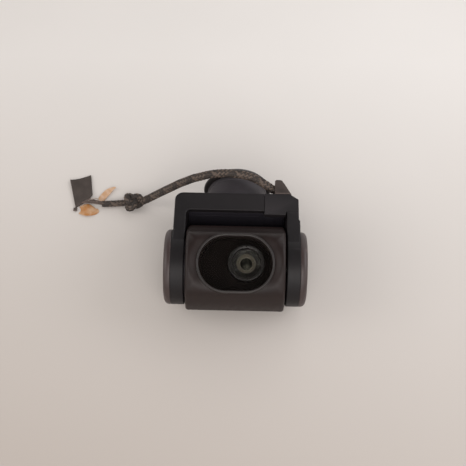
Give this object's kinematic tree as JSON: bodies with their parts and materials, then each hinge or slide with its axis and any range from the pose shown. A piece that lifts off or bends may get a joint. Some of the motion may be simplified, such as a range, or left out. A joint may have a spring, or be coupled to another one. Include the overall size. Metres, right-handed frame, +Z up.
{
  "type": "camera gimbal",
  "caption": "Small roll and pitch camera gimbal for a drone: barrel camera head between two yoke arms, roll motor with a round mounting flange, braided cable.",
  "frame": {"origin": "middle of the footprint of the gimbal without its free cable, on the surface that it lies on", "axes": "+X to the right along the pitch axis, +Y from the lens side to the mounting flange along the roll axis, +Z up from the surface that the gimbal lies on"},
  "size_m": [0.0642, 0.0473, 0.0227],
  "materials": {
    "yoke_plastic": "fine-grained matte moulding",
    "cap_plastic": "fine-grained matte moulding",
    "inner_cover_plastic": "matte moulding",
    "hood_plastic": "coarse-grained matte moulding",
    "head_plastic": "fine-grained matte moulding",
    "bezel_plastic": "satin lip",
    "baffle_plastic": "light-absorbing black",
    "lens_barrel_plastic": "satin moulding",
    "lens_ring_metal": "satin anodised",
    "window_glass": "coated, smooth",
    "lens_glass": "coated, smooth",
    "filter_glass": "coated, smooth",
    "sensor_chip": "moulded package",
    "circuit_board": "solder mask",
    "thermal_rubber": "soft pad",
    "motor_aluminium": "machined",
    "rotor_metal": "satin black plating",
    "flange_metal": "satin black anodised",
    "stator_steel": "laminated sheets",
    "bearing_steel": "polished",
    "screw_steel": "blackened",
    "magnet": "nickel plated",
    "copper": "enamelled copper wire",
    "flex_film": "amber polyimide film",
    "cable_braid": "braided sleeve",
    "coax_jacket": "thin extruded jackets",
    "connector_plastic": "stiffener with a moulded connector"
  },
  "bodies": {
    "yoke": {"yoke_frame": "yoke_plastic", "yoke_inner_cover": "inner_cover_plastic", "yoke_cover_screws": "screw_steel", "left_cap": "cap_plastic", "right_cap": "cap_plastic", "cable_cover": "yoke_plastic", "cable_hood": "hood_plastic", "pitch_motor_base": "motor_aluminium", "pitch_stator": "stator_steel", "pitch_windings": "copper", "pitch_bearings": "bearing_steel", "trunnion_bearing": "bearing_steel", "pitch_flex_coil": "flex_film", "yoke_flex": "flex_film", "roll_bell": "rotor_metal", "roll_magnets": "magnet", "roll_shaft": "bearing_steel", "roll_bell_screws": "screw_steel", "cable_run": "cable_braid", "cable_knot": "cable_braid", "cable_bundle": "cable_braid", "coax_wires": "coax_jacket", "connector_board": "connector_plastic", "flex_tails": "flex_film"},
    "roll_base": {"roll_mount": "flange_metal", "roll_stator": "stator_steel", "roll_windings": "copper", "roll_bearings": "bearing_steel", "roll_motor_board": "circuit_board", "roll_hub_cap": "baffle_plastic"},
    "camera_head": {"head_front_shell": "head_plastic", "head_rear_shell": "head_plastic", "head_left_plate": "inner_cover_plastic", "head_right_plate": "inner_cover_plastic", "head_screws": "screw_steel", "window_bezel": "bezel_plastic", "window_glass": "window_glass", "light_baffle": "baffle_plastic", "lens_barrel": "lens_barrel_plastic", "lens_retaining_ring": "lens_ring_metal", "front_lens": "lens_glass", "aperture_stop": "baffle_plastic", "middle_lens": "lens_glass", "rear_lens": "lens_glass", "lens_holder": "lens_barrel_plastic", "infrared_filter": "filter_glass", "image_sensor": "sensor_chip", "sensor_board": "circuit_board", "thermal_pad": "thermal_rubber", "heat_sink": "motor_aluminium", "main_board": "circuit_board", "main_board_chips": "sensor_chip", "motion_sensor_board": "circuit_board", "head_flex": "flex_film", "pitch_bell": "rotor_metal", "pitch_magnets": "magnet", "pitch_shaft": "bearing_steel", "pitch_bell_screws": "screw_steel", "head_trunnion": "bearing_steel"}
  },
  "joints": [
    {"name": "pitch", "type": "hinge", "parent": "yoke", "child": "camera_head", "pos_m": [0, -0.007, 0.0105], "axis": [1, 0, 0], "range_deg": [-35, 80]},
    {"name": "roll", "type": "hinge", "parent": "yoke", "child": "roll_base", "pos_m": [0, -0.007, 0.0105], "axis": [0, 1, 0], "range_deg": [-30, 30]}
  ]
}
